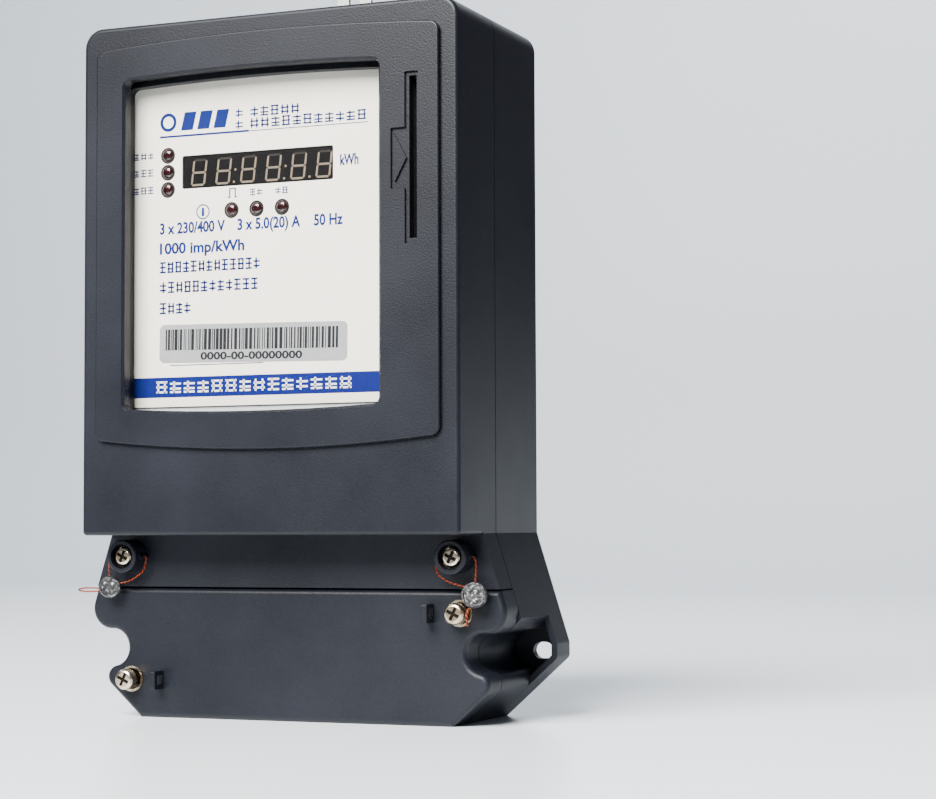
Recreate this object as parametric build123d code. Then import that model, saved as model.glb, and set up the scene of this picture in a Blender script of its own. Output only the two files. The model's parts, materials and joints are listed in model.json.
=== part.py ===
"""Prepaid three-phase electricity meter with a card slot.

Millimetres. +X is the viewer's right, the front faces -Y, +Z is up. The origin is on the
ground under the middle of the case: the case stands on its bottom edge.
"""
from build123d import *
from math import cos, radians, sin, sqrt
import os

# ---------------------------------------------------------------- driving dimensions
# Planes across the depth, from the front panel to the wall side.
PANEL_Y = -37.5
FACE_Y = -35.5
BAND_Y = -14.5
SEAM_Y = -2.3
EAR_Y = 24.5
EAR_PLATE_Y = 34.0
BACK_Y = 37.5

# Heights.
CASE_TOP = 251.2
LIP_Z = 66.5
BAND_BOTTOM = 47.7
SEAM_GAP = 0.5
FLARE_TOP = 67.0

# Widths, from the middle plane.
CASE_HALF = 74.2
TOP_CORNER = 7.2
HOOD_CORNER = 1.4
WALL = 2.6
SIDE_WALL = 3.4

# The ears and the scallops that give a screwdriver room.
EAR_HALF = 86.7
EAR_HIGH = 27.4
EAR_LOW = 22.1
EAR_FOOT = 62.2
EAR_RIM = 2.2
FLARE_SLOPE = (EAR_HALF - CASE_HALF) / (FLARE_TOP - EAR_HIGH)
SCALLOP_X = 74.3
SCALLOP_Z = 25.2
SCALLOP_R = 6.85
SHOULDER_R = 7.5
LOBE_R = 4.1
LOBE_TURN = -101.6
CHAMFER_TURN = -47.9
SLOT_X = 77.8
SLOT_Z = 24.3
SLOT_LENGTH = 7.8
SLOT_R = 3.0

# Raised front panel and its window.
RAISED_HALF = 67.8
RAISED_LOW = 100.6
RAISED_HIGH = 242.2
RAISED_RISE = 2.7
RAISED_DROP = 3.9
WINDOW_LEFT = -56.0
WINDOW_RIGHT = 45.0
WINDOW_LOW = 111.7
WINDOW_HIGH = 230.7
WINDOW_RISE = 1.4
WINDOW_DROP = 1.5
WINDOW_BEVEL = 0.9
PANE_LIP = 1.8
WINDOW_LEDGE = 3.6
PANE_FRONT = FACE_Y + WALL + 0.05
PANE_BACK = PANE_FRONT + 1.6

# Card slot.
CARD_X = 57.9
CARD_WIDE = 2.8
CARD_LOW = 167.9
CARD_HIGH = 224.0
CARD_THROAT = 1.4
CARD_SPLIT = CARD_X + CARD_THROAT / 2
CARD_FRONT = FACE_Y + WALL + 0.1
SOCKET_HALF = 5.35
SOCKET_LOW = 163.5
SOCKET_HIGH = 229.5
CONTACTS_Z = [178.0 + 2.54 * n for n in range(4)] + [200.2 + 2.54 * n for n in range(4)]
RECESS_Y = PANEL_Y + 1.0

# Nameplate, lamps and display.
PLATE_Y = -26.5
PLATE_THICK = 0.8
PLATE_LEFT = -59.2
PLATE_RIGHT = 47.6
PLATE_LOW = 112.8
PLATE_HIGH = 232.6
LAMPS = [(-44.1, 204.4), (-44.1, 198.2), (-44.1, 191.9), (-17.9, 183.1), (-7.8, 183.1), (2.4, 183.1)]
LAMP_R = 2.5
DISPLAY = (-38.1, 22.5, 191.8, 203.7)
LABEL = (-47.3, 28.1, 128.2, 142.0)
LABEL_TURN = -0.95
DISPLAY_BOARD_Y = -18.0
MAIN_BOARD_Y = 22.0
BOARD_THICK = 1.6
DISPLAY_POSTS = [(-54, 122), (42, 122), (-54, 222), (42, 222)]
BOARD_POSTS = [(-60, 84), (40, 84), (-60, 226), (40, 226)]
PANEL_POSTS = [(-54, 104.5), (42, 104.5), (-54, 238), (42, 238)]
BLOCK_POSTS = [(-56.8, 26), (56.8, 26)]

# Screws. The cover screws hold the upper cover; the lid screws hold the terminal cover.
COVER_SCREWS = [(-65.2, 58.8), (65.2, 58.8)]
COVER_SCREW_TOP = -22.5
BOSS_TOP = -23.0
LID_SCREWS = [(-65.5, 13.9), (65.5, 39.3)]
LID_SCREW_TOP = -21.1
LID_TABS = [(53.3, 55.6, 36.0, 42.5), (-54.3, -52.3, 10.5, 17.1)]
TAB_Y = -20.8
SHANK_R = 1.95
THREAD_R = 2.0

# Seals: the wire goes through a hole across the boss, and the lead disc hangs from it.
SEAL_HOLE_Y = -17.9
SEAL_WIRE_R = 0.42
SEAL_HOLE_R = 0.5
LEAD_Y = -19.7

# Terminals.
TERMINALS = 10
TERMINAL_PITCH = 11.2
TERMINAL_Y = 12.0
CABLE_R = 3.25

# Hanger.
HANGER_X = 2.0
HANGER_HALF = 7.0
HANGER_HOLE_Z = 271.5
HANGER_HOLE_LOW = 255.0
HANGER_HOLE_R = 2.3


# ---------------------------------------------------------------- helpers
def prism(sketch, y_front, y_back, taper=0.0):
    """The sketch, drawn in X and Z, as a solid between two depths."""
    placed = Plane.XZ.offset(-y_back) * sketch
    return extrude(placed, amount=y_back - y_front, dir=(0, -1, 0), taper=taper)


def block(x0, x1, y0, y1, z0, z1):
    """A box between six planes."""
    return Pos((x0 + x1) / 2, (y0 + y1) / 2, (z0 + z1) / 2) * Box(x1 - x0, y1 - y0, z1 - z0)


def rod_y(x, z, radius, y_front, y_back):
    """A round bar along the depth."""
    middle = (y_front + y_back) / 2
    return Pos(x, middle, z) * Rot(90, 0, 0) * Cylinder(radius, y_back - y_front)


def rod_z(x, y, radius, z_low, z_high):
    """An upright round bar."""
    return Pos(x, y, (z_low + z_high) / 2) * Cylinder(radius, z_high - z_low)


def rod_x(y, z, radius, x_low, x_high):
    """A round bar across the width."""
    return Pos((x_low + x_high) / 2, y, z) * Rot(0, 90, 0) * Cylinder(radius, x_high - x_low)


def ring_y(x, z, outer, inner, y_front, y_back):
    """A tube along the depth."""
    return rod_y(x, z, outer, y_front, y_back) - rod_y(x, z, inner, y_front - 1, y_back + 1)


def rectangle(x0, x1, z0, z1, corner=0.0):
    """An upright rectangle, with round corners if asked for."""
    sketch = Pos((x0 + x1) / 2, (z0 + z1) / 2) * Rectangle(x1 - x0, z1 - z0)
    return fillet(sketch.vertices(), corner) if corner else sketch


def arched(x0, x1, z0, z1, rise, drop, corner):
    """A rectangle whose top bows up and whose bottom bows down."""
    middle = (x0 + x1) / 2
    edges = [
        Line((x0, z0), (x0, z1)),
        ThreePointArc((x0, z1), (middle, z1 + rise), (x1, z1)),
        Line((x1, z1), (x1, z0)),
        ThreePointArc((x1, z0), (middle, z0 - drop), (x0, z0)),
    ]
    sketch = Sketch() + make_face(edges)
    return fillet(sketch.vertices(), corner)


def flare_x(z):
    """Half width of the flared lower sides at a height."""
    return CASE_HALF + FLARE_SLOPE * (FLARE_TOP - z)


def both_sides(edges):
    """A closed face from the edges of its right half."""
    mirrored = [mirror(edge, about=Plane.YZ) for edge in edges]
    return Sketch() + make_face(edges + mirrored)


def write(name, *solids):
    """Save one node, as one solid or as a group of separate solids."""
    shape = solids[0] if len(solids) == 1 else Compound(children=[s.solid() for s in solids])
    export_step(shape, f"parts/{name}.step")


# ---------------------------------------------------------------- outlines
def lower_outline(top):
    """Terminal end of the case: flared sides, a scallop each side and a cut bottom corner."""
    turn = radians(LOBE_TURN)
    scallop = (SCALLOP_X, SCALLOP_Z)
    reach = SCALLOP_R + LOBE_R
    lobe = (scallop[0] + reach * cos(turn), scallop[1] + reach * sin(turn))
    kiss = (scallop[0] + SCALLOP_R * cos(turn), scallop[1] + SCALLOP_R * sin(turn))
    cut = radians(CHAMFER_TURN)
    leave = (lobe[0] + LOBE_R * cos(cut), lobe[1] + LOBE_R * sin(cut))
    foot = (leave[0] + leave[1] * sin(cut) / cos(cut), 0)
    ledge = SCALLOP_Z + SCALLOP_R
    lean = sqrt(1 + FLARE_SLOPE**2)
    hub_z = ledge + SHOULDER_R
    hub_x = flare_x(hub_z) - SHOULDER_R * lean
    side = (hub_x + SHOULDER_R / lean, hub_z + SHOULDER_R * FLARE_SLOPE / lean)
    bend = (hub_x + SHOULDER_R * cos(radians(-40)), hub_z + SHOULDER_R * sin(radians(-40)))
    edges = [
        Line((0, top), (flare_x(top), top)),
        Line((flare_x(top), top), side),
        ThreePointArc(side, bend, (hub_x, ledge)),
        Line((hub_x, ledge), (SCALLOP_X, ledge)),
        ThreePointArc((SCALLOP_X, ledge), (SCALLOP_X - SCALLOP_R, SCALLOP_Z), kiss),
        ThreePointArc(kiss, (lobe[0] + LOBE_R, lobe[1]), leave),
        Line(leave, foot),
        Line(foot, (0, 0)),
    ]
    return both_sides([edge for edge in edges if edge.length > 0.01])


def upper_outline(bottom):
    """Upper case with its round top corners, and the flare down to a given height."""
    top = rectangle(-CASE_HALF, CASE_HALF, FLARE_TOP, CASE_TOP)
    top = fillet(top.vertices().sort_by(Axis.Y)[-2:], TOP_CORNER)
    low = flare_x(bottom)
    flare = Polygon(
        (-CASE_HALF, FLARE_TOP), (-low, bottom), (low, bottom), (CASE_HALF, FLARE_TOP), align=None
    )
    return top + flare


def ear_outline():
    """Back plate with the two ears."""
    points = [
        (CASE_HALF, FLARE_TOP),
        (EAR_HALF, EAR_HIGH),
        (EAR_HALF, EAR_LOW),
        (EAR_FOOT, 0),
    ]
    left = [(-x, z) for x, z in reversed(points)]
    sketch = Polygon(*points, *left, align=None)
    corners = [v for v in sketch.vertices() if abs(v.X) > EAR_HALF - 1]
    return fillet(corners, 2.2)


def ear_corner():
    """Full-depth corner of the base above the right ear's pocket."""
    points = [
        (flare_x(42), 42),
        (flare_x(37.4), 37.4),
        (flare_x(37.4) - 1.2, 36.2),
        (78.6, 33.05),
        (76.0, 33.05),
        (76.0, 42),
    ]
    return Sketch() + Polygon(*points, align=None)


def ear_pocket():
    """Recess in the right ear, inside its rim and outside the scallop."""
    inside = offset(ear_outline(), amount=-EAR_RIM)
    inside &= rectangle(67, EAR_HALF, 9, 36.5)
    return inside - lower_outline(BAND_BOTTOM) - ear_corner()


def window_outline(grow=0.0):
    """The window, or a larger copy of it for the pane and its frame."""
    return arched(
        WINDOW_LEFT - grow,
        WINDOW_RIGHT + grow,
        WINDOW_LOW - grow,
        WINDOW_HIGH + grow,
        WINDOW_RISE,
        WINDOW_DROP,
        2.5,
    )


def terminal_x(number):
    """Middle of a terminal, counted from the left."""
    return (number - (TERMINALS - 1) / 2) * TERMINAL_PITCH


# ---------------------------------------------------------------- housing
def seam_groove(outline):
    """Fine shadow groove round a cover where it meets the base."""
    outside = offset(outline, amount=2) - offset(outline, amount=-0.7)
    return prism(outside, SEAM_Y - 0.5, SEAM_Y + 1)


def base_housing():
    """The back shell: two chambers, the ears, screw posts and the hanger's track."""
    shell = prism(upper_outline(BAND_BOTTOM - 2), SEAM_Y, BACK_Y)
    shell += prism(lower_outline(BAND_BOTTOM - 2), SEAM_Y, BACK_Y)
    shell += prism(ear_outline(), EAR_Y, BACK_Y)
    corner = prism(ear_corner(), SEAM_Y, EAR_Y + 1)
    pocket = prism(ear_pocket(), EAR_Y - 1, EAR_PLATE_Y)
    shell += corner + mirror(corner, about=Plane.YZ)
    shell -= pocket
    shell -= mirror(pocket, about=Plane.YZ)
    back_inside = BACK_Y - WALL
    chamber = offset(upper_outline(BAND_BOTTOM), amount=-WALL)
    shell -= prism(chamber, SEAM_Y - 1, back_inside)
    shell -= prism(offset(lower_outline(BAND_BOTTOM - 0.2), amount=-WALL), SEAM_Y - 1, back_inside)
    for x, z in COVER_SCREWS + LID_SCREWS:
        shell += rod_y(x, z, 5.0, SEAM_Y + 0.4, BACK_Y - 1)
    for x, z in COVER_SCREWS + LID_SCREWS:
        shell -= rod_y(x, z, 3.2, SEAM_Y - 1, 7.0)
        shell -= rod_y(x, z, 2.2, SEAM_Y - 1, 14.0)
    for x, z in BOARD_POSTS:
        shell += rod_y(x, z, 3.6, MAIN_BOARD_Y + BOARD_THICK, BACK_Y - 1)
        shell -= rod_y(x, z, 1.3, MAIN_BOARD_Y, BACK_Y - 4)
    for x, z in BLOCK_POSTS:
        shell += rod_y(x, z, 3.5, 28, BACK_Y - 1)
        shell -= rod_y(x, z, 1.4, 27, BACK_Y - 2)
    for side in (-1, 1):
        slot = Pos(side * SLOT_X, SLOT_Z) * SlotOverall(SLOT_LENGTH, 2 * SLOT_R)
        shell -= prism(slot, EAR_PLATE_Y - 2, BACK_Y + 1)
    shell -= block(-57.5, 57.5, 5.5, 18.5, -1, WALL + 1)
    for number in range(TERMINALS):
        shell -= rod_z(terminal_x(number), TERMINAL_Y, 1.7, 44, 52)
    shell -= prism(GASKET, SEAM_Y - 1, SEAM_Y + 1.2)
    shell += block(HANGER_X - 12, HANGER_X + 12, 31.3, BACK_Y, 200, CASE_TOP - 1)
    shell -= block(HANGER_X - 7.3, HANGER_X + 7.3, 33.9, BACK_Y + 1, 210, CASE_TOP + 1)
    shell -= block(HANGER_X - 9.3, HANGER_X + 9.3, 33.9, BACK_Y + 1, 202.5, 231.5)
    shell -= block(HANGER_X - 17.1, HANGER_X + 17.1, 35.9, BACK_Y + 1, 232.9, 244.1)
    for side in (-1, 1):
        shell += rod_y(HANGER_X + side * 13, 238.5, 3.5, 31, 35.9)
        shell -= rod_y(HANGER_X + side * 13, 238.5, 1.2, 32, 37)
    return shell


def hanger():
    """Plated steel tab that slides up out of the back, with a hole for the hook."""
    strip = rectangle(HANGER_X - HANGER_HALF, HANGER_X + HANGER_HALF, 226, HANGER_HOLE_Z)
    strip += rectangle(HANGER_X - HANGER_HALF - 2, HANGER_X + HANGER_HALF + 2, 226, 231.4)
    strip += Pos(HANGER_X, HANGER_HOLE_Z) * Circle(HANGER_HALF)
    for z in (HANGER_HOLE_LOW, HANGER_HOLE_Z):
        strip -= Pos(HANGER_X, z) * Circle(HANGER_HOLE_R)
    left = HANGER_X - HANGER_HOLE_R
    strip -= rectangle(left, left + 2 * HANGER_HOLE_R, HANGER_HOLE_LOW, HANGER_HOLE_Z)
    return prism(strip, 34.1, 35.6)


def hanger_keeper():
    """Flush plate that keeps the hanger in its track."""
    plate = prism(rectangle(HANGER_X - 17, HANGER_X + 17, 233, 244, 1.5), 36.0, 37.3)
    for side in (-1, 1):
        plate -= rod_y(HANGER_X + side * 13, 238.5, 1.6, 35, 38)
    return plate


def keeper_screws():
    """Two flat-headed screws through the keeper plate."""
    screws = []
    for side in (-1, 1):
        x = HANGER_X + side * 13
        screw = rod_y(x, 238.5, 1.15, 32.5, 36.6) + rod_y(x, 238.5, 1.5, 36.2, 37.2)
        screws.append(screw)
    return screws


# ---------------------------------------------------------------- upper cover
def upper_cover():
    """Front shell over the electronics, with the raised panel, window and card slot."""
    hood = rectangle(-CASE_HALF, CASE_HALF, LIP_Z, CASE_TOP)
    hood = fillet(hood.vertices().sort_by(Axis.Y)[-2:], TOP_CORNER)
    hood = fillet(hood.vertices().sort_by(Axis.Y)[:2], HOOD_CORNER)
    cover = prism(hood, FACE_Y, SEAM_Y)
    front = cover.faces().sort_by(Axis.Y)[0]
    cover = fillet(front.edges(), 1.5)
    band = upper_outline(BAND_BOTTOM) - rectangle(-100, 100, FLARE_TOP + 6, CASE_TOP + 1)
    band = prism(band, BAND_Y, SEAM_Y)
    cover += band
    panel = arched(
        -RAISED_HALF, RAISED_HALF, RAISED_LOW, RAISED_HIGH, RAISED_RISE, RAISED_DROP, 3.5
    )
    panel = prism(panel, PANEL_Y, FACE_Y + 1)
    panel = fillet(panel.faces().sort_by(Axis.Y)[0].edges(), 0.7)
    cover += panel
    half = CASE_HALF - SIDE_WALL
    inside = rectangle(-half, half, LIP_Z + WALL, CASE_TOP - SIDE_WALL, 4)
    cover -= prism(inside, FACE_Y + WALL, SEAM_Y + 1)
    low = offset(upper_outline(BAND_BOTTOM), amount=-WALL) - rectangle(-99, 99, 72, 260)
    cover -= prism(low, BAND_Y + WALL, SEAM_Y + 1)
    frame = window_outline(PANE_LIP + 2.0)
    cover += prism(frame, FACE_Y + 1, PLATE_Y - 0.4)
    cover -= prism(window_outline(PANE_LIP), FACE_Y + WALL, PLATE_Y + 5)
    cover -= prism(window_outline(), PANEL_Y - 1, FACE_Y + WALL + 1)
    proud = 0.2
    bevel = prism(window_outline(), PANEL_Y - proud, PANEL_Y + WINDOW_BEVEL, -45)
    cover -= bevel
    ledge = window_outline(PANE_LIP) - Pos(0, -WINDOW_LEDGE) * window_outline(PANE_LIP)
    cover += prism(ledge, PANE_BACK + 0.05, PLATE_Y - 0.4)
    for x, z in PANEL_POSTS:
        cover += rod_y(x, z, 3.4, FACE_Y + 1, PLATE_Y + PLATE_THICK)
        cover -= rod_y(x, z, 1.25, -32.5, PLATE_Y + 5)
    recess = rectangle(CARD_X - 2.8, CARD_X + 2.3, CARD_LOW - 1.9, CARD_HIGH + 1.4, 0.5)
    recess += rectangle(CARD_X - 8.05, CARD_X - 2.6, 185.1, 206.2, 0.5)
    cover -= prism(recess, PANEL_Y - 1, RECESS_Y)
    arrow = Sketch() + Polygon((50.9, 204.5), (55.7, 195.7), (51.3, 187.5), align=None)
    cover += prism(arrow, PANEL_Y + 0.1, RECESS_Y + 0.4)
    card = Pos(CARD_X, (CARD_LOW + CARD_HIGH) / 2) * Rectangle(CARD_WIDE, CARD_HIGH - CARD_LOW)
    cover -= prism(card, PANEL_Y - 1, FACE_Y + WALL + 1)
    for x, z in COVER_SCREWS:
        boss = rod_y(x, z, 6.0, BOSS_TOP, BAND_Y + 1)
        boss = fillet(boss.faces().sort_by(Axis.Y)[0].edges(), 0.6)
        lug = rod_y(x + 5.4, z, 1.2, -20.6, BAND_Y + 1)
        cover += boss + lug
        cover += rod_y(x, z, 5.0, BAND_Y + 1, SEAM_Y + 0.2)
        cover -= rod_y(x, z, 4.5, BOSS_TOP - 1, -19.3)
        cover -= rod_y(x, z, 2.3, BOSS_TOP - 1, SEAM_Y + 1)
        cover -= rod_x(SEAL_HOLE_Y, z, SEAL_HOLE_R, x - 9, x + 9)
    return cover - seam_groove(upper_outline(BAND_BOTTOM))


def window_pane():
    """Clear pane, held in the frame behind the window's lip."""
    return prism(window_outline(PANE_LIP - 0.1), PANE_FRONT, PANE_BACK)


def cover_gasket():
    """Rubber cord between the base and the upper cover."""
    return prism(GASKET, SEAM_Y + 0.05, SEAM_Y + 1.2)


def cover_screws():
    """Two drilled screws in the bosses: the seal wires go through them."""
    screws = []
    for x, z in COVER_SCREWS:
        screw = screw_head(x, z, 3.5, COVER_SCREW_TOP, 3.2)
        screw += rod_y(x, z, 2.2, COVER_SCREW_TOP + 3.1, SEAM_Y)
        screw += rod_y(x, z, SHANK_R, SEAM_Y - 0.5, 8)
        screw -= rod_x(SEAL_HOLE_Y, z, SEAL_HOLE_R, x - 4, x + 4)
        screws.append(screw)
    return screws


def screw_head(x, z, radius, top, thick):
    """Domed head with a cross recess and three notches in its rim."""
    head = rod_y(x, z, radius, top, top + thick)
    head = fillet(head.faces().sort_by(Axis.Y)[0].edges(), 1.4)
    for turn in (0, 90):
        arm = Box(radius * 1.3, 3.0, 1.15)
        head -= Pos(x, top, z) * Rot(0, turn + 25, 0) * arm
    for turn in (10, 130, 250):
        bite = Pos(radius, 0, 0) * Box(1.2, 1.6, 1.3)
        head -= Pos(x, top, z) * Rot(0, turn, 0) * bite
    return head


# ---------------------------------------------------------------- front panel assembly
def plate_holes(sketch, spare):
    """Cut the lamp holes and the display opening."""
    for x, z in LAMPS:
        sketch -= Pos(x, z) * Circle(LAMP_R + spare)
    left, right, low, high = DISPLAY
    return sketch - rectangle(left - spare, right + spare, low - spare, high + spare, 0.7)


def nameplate():
    """Printed plate behind the window."""
    plate = rectangle(PLATE_LEFT, PLATE_RIGHT, PLATE_LOW, PLATE_HIGH, 1.0)
    return prism(plate_holes(plate, 0.1), PLATE_Y, PLATE_Y + PLATE_THICK)


def nameplate_carrier():
    """Light grey frame that holds the nameplate and the display board."""
    front = PLATE_Y + PLATE_THICK + 0.02
    sheet = rectangle(-62, 50, 101, 242.5, 2)
    sheet = plate_holes(sheet, 0.3)
    carrier = prism(sheet, front, front + 1.8)
    for x, z in PANEL_POSTS:
        carrier -= rod_y(x, z, 1.45, -27, -23)
    for x, z in DISPLAY_POSTS:
        carrier += rod_y(x, z, 2.8, front + 1, DISPLAY_BOARD_Y)
        carrier -= rod_y(x, z, 1.1, -24, DISPLAY_BOARD_Y + 1)
    return carrier


def pan_screws(points, seat, tip, shank, radius, thick):
    """A group of pan-headed screws, each from its seat to its tip, with a cross recess."""
    top = seat + thick if seat > tip else seat - thick
    screws = []
    for x, z in points:
        screw = rod_y(x, z, radius, min(seat, top), max(seat, top))
        screw += rod_y(x, z, shank, min(seat, tip), max(seat, tip))
        screw -= Pos(x, top, z) * Box(radius * 1.3, 1.2, 0.6)
        screw -= Pos(x, top, z) * Box(0.6, 1.2, radius * 1.3)
        screws.append(screw)
    return screws


def barcode_label():
    """Foil label stuck on the nameplate."""
    left, right, low, high = LABEL
    tilted = Pos((left + right) / 2, (low + high) / 2) * Rot(0, 0, LABEL_TURN)
    outline = fillet(Rectangle(right - left, high - low).vertices(), 2.0)
    return prism(tilted * outline, PLATE_Y - 0.15, PLATE_Y)


def display_module():
    """Six-digit display block."""
    left, right, low, high = DISPLAY
    body = prism(rectangle(left, right, low, high, 0.6), PLATE_Y + 0.4, DISPLAY_BOARD_Y)
    return body


def led_lamps():
    """Six round lamps with domed ends and a rim at the board."""
    lamps = []
    for x, z in LAMPS:
        lamp = rod_y(x, z, LAMP_R, PLATE_Y - 1.0, DISPLAY_BOARD_Y)
        lamp = fillet(lamp.faces().sort_by(Axis.Y)[0].edges(), 1.9)
        lamps.append(lamp + rod_y(x, z, LAMP_R + 0.4, DISPLAY_BOARD_Y - 1.2, DISPLAY_BOARD_Y))
    return lamps


def display_board():
    """Board behind the display and the lamps."""
    y_back = DISPLAY_BOARD_Y + BOARD_THICK
    board = prism(rectangle(-58.5, 46.5, 117, 227, 1.5), DISPLAY_BOARD_Y + 0.02, y_back)
    for x, z in DISPLAY_POSTS:
        board -= rod_y(x, z, 1.6, DISPLAY_BOARD_Y - 1, y_back + 1)
    return board


# ---------------------------------------------------------------- card reader
def card_reader_socket():
    """Left half of the narrow upright socket that the card slides into, edge first."""
    body = block(CARD_X - SOCKET_HALF, CARD_SPLIT, CARD_FRONT, 20, SOCKET_LOW, SOCKET_HIGH)
    left = CARD_X - CARD_THROAT / 2
    body -= block(left, CARD_X + 3, -40, 17, CARD_LOW + 0.5, CARD_HIGH - 0.5)
    return body - block(CARD_X - CARD_WIDE / 2, CARD_X + 3, -40, -30, CARD_LOW, CARD_HIGH)


def card_reader_side():
    """Right half of the socket, with windows for the contact springs."""
    right = CARD_X + SOCKET_HALF
    body = block(CARD_SPLIT + 0.02, right, CARD_FRONT, 20, SOCKET_LOW, SOCKET_HIGH)
    body -= block(50, CARD_X + CARD_WIDE / 2, -40, -30, CARD_LOW, CARD_HIGH)
    for z in CONTACTS_Z:
        body -= block(50, CARD_X + 3.35, 4, 14, z - 0.7, z + 0.7)
    return body


def card_contacts():
    """Eight bowed contact springs that lean towards the card."""
    foot = CARD_X + 3.05
    thick, bow = 0.25, 1.9
    springs = []
    for z in CONTACTS_Z:
        spring = Plane.XY * make_face(
            [
                ThreePointArc((foot, 4.1), (foot - bow, 9), (foot, 13.9)),
                Line((foot, 13.9), (foot + thick, 13.9)),
                ThreePointArc((foot + thick, 13.9), (foot + thick - bow, 9), (foot + thick, 4.1)),
                Line((foot + thick, 4.1), (foot, 4.1)),
            ]
        )
        springs.append(Pos(0, 0, z - 0.4) * extrude(spring, amount=0.8))
    return springs


def card_board():
    """Small board on the side of the socket."""
    left = CARD_X + SOCKET_HALF + 0.1
    return block(left, left + BOARD_THICK, -25, 18, 168, 225)


# ---------------------------------------------------------------- main board
def main_board():
    """Measuring board on four posts in the base."""
    y_back = MAIN_BOARD_Y + BOARD_THICK
    board = prism(rectangle(-66, 47, 76, 234, 2), MAIN_BOARD_Y, y_back - 0.02)
    for x, z in BOARD_POSTS:
        board -= rod_y(x, z, 1.7, MAIN_BOARD_Y - 1, y_back + 1)
    return board


def on_board(x, z, wide, high, tall):
    """A boxy component on the front of the main board."""
    face = MAIN_BOARD_Y - 0.02
    return block(x - wide / 2, x + wide / 2, face - tall, face, z - high / 2, z + high / 2)


def transformer_core():
    """Laminated core of the supply transformer."""
    core = block(-56, -20, 1, 17, 191, 221)
    for side in (-1, 1):
        core -= block(-38 + side * 9 - 4, -38 + side * 9 + 4, 0, 18, 196, 216)
    return core


def transformer_coil():
    """Wound bobbin round the middle limb of the core."""
    coil = block(-46.8, -29.2, -3, MAIN_BOARD_Y - 0.02, 196.2, 215.8)
    return coil - block(-43.1, -32.9, 0.9, 17.1, 190, 220)


def capacitors():
    """Upright supply capacitors."""
    cans = []
    for x, z, radius in [(-8, 212, 6.5), (8, 212, 6.5), (-8, 196, 4.0), (4, 196, 4.0)]:
        can = rod_y(x, z, radius, MAIN_BOARD_Y - 18, MAIN_BOARD_Y - 0.02)
        cans.append(fillet(can.faces().sort_by(Axis.Y)[0].edges(), 0.8))
    return cans


def chips():
    """Metering chip, processor and memory."""
    return [
        on_board(-30, 160, 14, 14, 1.8),
        on_board(2, 160, 18, 10, 2.2),
        on_board(26, 160, 6, 5, 1.8),
        on_board(-52, 160, 10, 8, 2.0),
    ]


def optocouplers():
    """Four isolators beside the outputs."""
    return [on_board(-6 + 10 * number, 118, 6.5, 5, 3.5) for number in range(4)]


def varistors():
    """One surge arrester for each phase."""
    return [
        rod_y(x, 118, 6, MAIN_BOARD_Y - 5, MAIN_BOARD_Y - 0.02) for x in (-56, -40, -24)
    ]


def backup_battery():
    """Lithium cell that keeps the clock."""
    cell = rod_z(32, MAIN_BOARD_Y - 7.6, 7.2, 178, 203)
    return cell


def battery_holder():
    """Cradle under the cell."""
    cradle = on_board(32, 190.5, 18, 30, 9)
    return cradle - rod_z(32, MAIN_BOARD_Y - 7.6, 7.25, 176.5, 204.5)


def output_relay():
    """Relay that signals the breaker when the credit runs out."""
    return on_board(30, 136, 20, 15, 15)


def crystal():
    """Can of the clock crystal."""
    return on_board(-12, 146, 11, 4.6, 3.6)


def board_headers():
    """Facing headers for the ribbon cable."""
    low = on_board(-20, 138, 28, 5, 8)
    y_back = DISPLAY_BOARD_Y + BOARD_THICK + 0.02
    high = block(-34, -6, y_back, y_back + 8, 135.5, 140.5)
    return [low, high]


def ribbon_cable():
    """Flat cable between the two boards."""
    return block(-33, -7, DISPLAY_BOARD_Y + BOARD_THICK + 8.1, MAIN_BOARD_Y - 8.1, 137.4, 138.6)


def current_transformers():
    """One ring core for each phase, potted in a case."""
    cores = []
    for phase in range(3):
        x = terminal_x(3 * phase + 1)
        ring = rod_x(TERMINAL_Y, 80, 9.4, x - 5, x + 5) - rod_x(TERMINAL_Y, 80, 3, x - 6, x + 6)
        cores.append(fillet(ring.edges().filter_by(GeomType.CIRCLE).sort_by(SortBy.LENGTH)[-2:], 0.8))
    return cores


def current_loops():
    """Thick copper loops from the current terminals through the ring cores."""
    loops = []
    for phase in range(3):
        left = terminal_x(3 * phase)
        right = terminal_x(3 * phase + 2)
        path = FilletPolyline(
            (left, TERMINAL_Y, 41.2),
            (left, TERMINAL_Y, 80),
            (right, TERMINAL_Y, 80),
            (right, TERMINAL_Y, 41.2),
            radius=4,
        )
        start = Plane(origin=path @ 0, z_dir=path % 0)
        loops.append(sweep(start * Circle(1.3), path=path))
    return loops


def voltage_leads():
    """Leads from the voltage terminals to the board."""
    leads = []
    for number in (1, 4, 7, 9):
        x = terminal_x(number)
        top = 59 if number < 9 else 80
        path = FilletPolyline((x, TERMINAL_Y, 41.2), (x, TERMINAL_Y, top), (x, 26.5, top), radius=4)
        start = Plane(origin=path @ 0, z_dir=path % 0)
        lead = sweep(start * Circle(0.8), path=path)
        leads.append(lead)
    return leads


# ---------------------------------------------------------------- terminals
def terminal_block():
    """Black moulded block with a cell for each terminal."""
    body = block(-59, 59, 2, 34.6, 8, 44)
    for number in range(TERMINALS):
        x = terminal_x(number)
        body -= block(x - 4.2, x + 4.2, 1, 18.2, 11.8, 40.2)
        body -= rod_z(x, TERMINAL_Y, 3.5, 7, 13)
        body -= rod_z(x, TERMINAL_Y, 1.7, 39, 45)
    for x, z in BLOCK_POSTS:
        body -= rod_y(x, z, 1.7, 1, 36)
        body -= rod_y(x, z, 3.7, 27.9, 36)
    return body


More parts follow.
